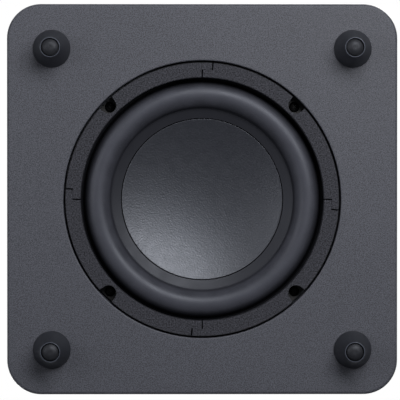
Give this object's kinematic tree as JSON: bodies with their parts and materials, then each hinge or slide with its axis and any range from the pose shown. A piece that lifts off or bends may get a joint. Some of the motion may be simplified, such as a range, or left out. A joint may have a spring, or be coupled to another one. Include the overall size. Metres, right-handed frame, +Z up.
{
  "type": "subwoofer",
  "caption": "Down-firing powered bass speaker: square textured cabinet with rounded corners, driver sunk into the underside behind a trim ring, cone feet, rear port and amplifier plate.",
  "frame": {"origin": "on the floor, under the middle of the cabinet", "axes": "+Z up, front of the cabinet towards -Y, rear (port and amplifier plate) towards +Y, +X to the right when looking from the front"},
  "size_m": [0.24, 0.24, 0.379],
  "materials": {
    "cabinet_board": "board under fine-textured charcoal paint",
    "trim_board": "speckled matt",
    "foot_plastic": "fine moulded texture",
    "pad_rubber": "matt",
    "surround_rubber": "satin",
    "dish": "fine-grained matt",
    "paper_cone": "pressed paper",
    "basket_casting": "black paint on a casting",
    "foam": "closed-cell foam",
    "black_steel": "black oxide",
    "zinc_steel": "zinc plate",
    "plated_steel": "bright zinc plate",
    "ferrite": "sintered ferrite",
    "former_film": "polyimide film",
    "copper": "enamelled wire",
    "spider_cloth": "phenolic-dipped cloth",
    "phenolic": "phenolic paper",
    "brass": "tinned brass",
    "braid": "braided tinsel",
    "cable_red": "soft insulation",
    "cable_brown": "soft insulation",
    "ivory_plastic": "moulded",
    "black_plastic": "fine moulded texture",
    "inlet_plastic": "moulded",
    "button_plastic": "satin moulded",
    "clear_plastic": "clear light pipe",
    "circuit_board": "solder mask",
    "bare_aluminium": "extruded",
    "winding_tape": "polyester tape",
    "capacitor_sleeve": "shrink sleeve",
    "nickel": "nickel plate",
    "wadding": "polyester fibre"
  },
  "bodies": {
    "cabinet": {"cabinet_sleeve": "cabinet_board", "top_panel": "cabinet_board", "bottom_baffle": "cabinet_board", "port_tube": "black_plastic", "acoustic_wadding": "wadding", "foot_screws": "zinc_steel", "driver_gasket": "foam", "driver_screws": "black_steel", "basket": "basket_casting", "surround": "surround_rubber", "spider": "spider_cloth", "top_plate": "plated_steel", "magnet": "ferrite", "t_yoke": "plated_steel", "terminal_strip": "phenolic", "terminal_lugs": "brass", "tinsel_leads": "braid", "speaker_cable": "cable_red", "cable_plug": "ivory_plastic", "amp_plate": "black_plastic", "amp_gasket": "foam", "amp_screws": "black_steel", "main_board": "circuit_board", "board_screws": "zinc_steel", "heat_sink": "bare_aluminium", "power_devices": "black_plastic", "transformer_core": "ferrite", "transformer_winding": "winding_tape", "bulk_capacitors": "capacitor_sleeve", "output_coils": "copper", "radio_board": "circuit_board", "radio_shield": "plated_steel", "antenna": "brass", "mains_inlet": "inlet_plastic", "inlet_pins": "nickel", "mains_leads": "cable_brown", "tact_switch": "plated_steel", "indicator_lens": "clear_plastic", "indicator_led": "ivory_plastic", "foot_front_left": "foot_plastic", "foot_front_right": "foot_plastic", "foot_rear_left": "foot_plastic", "foot_rear_right": "foot_plastic", "foot_pad_front_left": "pad_rubber", "foot_pad_front_right": "pad_rubber", "foot_pad_rear_left": "pad_rubber", "foot_pad_rear_right": "pad_rubber", "trim_segment_right": "trim_board", "trim_segment_rear": "trim_board", "trim_segment_left": "trim_board", "trim_segment_front": "trim_board"},
    "cone_assembly": {"cone": "dish", "cone_body": "paper_cone", "voice_coil_former": "former_film", "voice_coil": "copper"},
    "button_assembly": {"pairing_button": "button_plastic", "switch_plunger": "ivory_plastic"}
  },
  "joints": [
    {"name": "cone_travel", "type": "slide", "parent": "cabinet", "child": "cone_assembly", "axis": [0, 0, 1], "range_m": [-0.0075, 0.0075], "stiffness_N_per_m": 900, "deforming": ["surround", "spider", "tinsel_leads"]},
    {"name": "button_press", "type": "slide", "parent": "cabinet", "child": "button_assembly", "axis": [0, -1, 0], "range_m": [0, 0.0008], "stiffness_N_per_m": 1500}
  ]
}
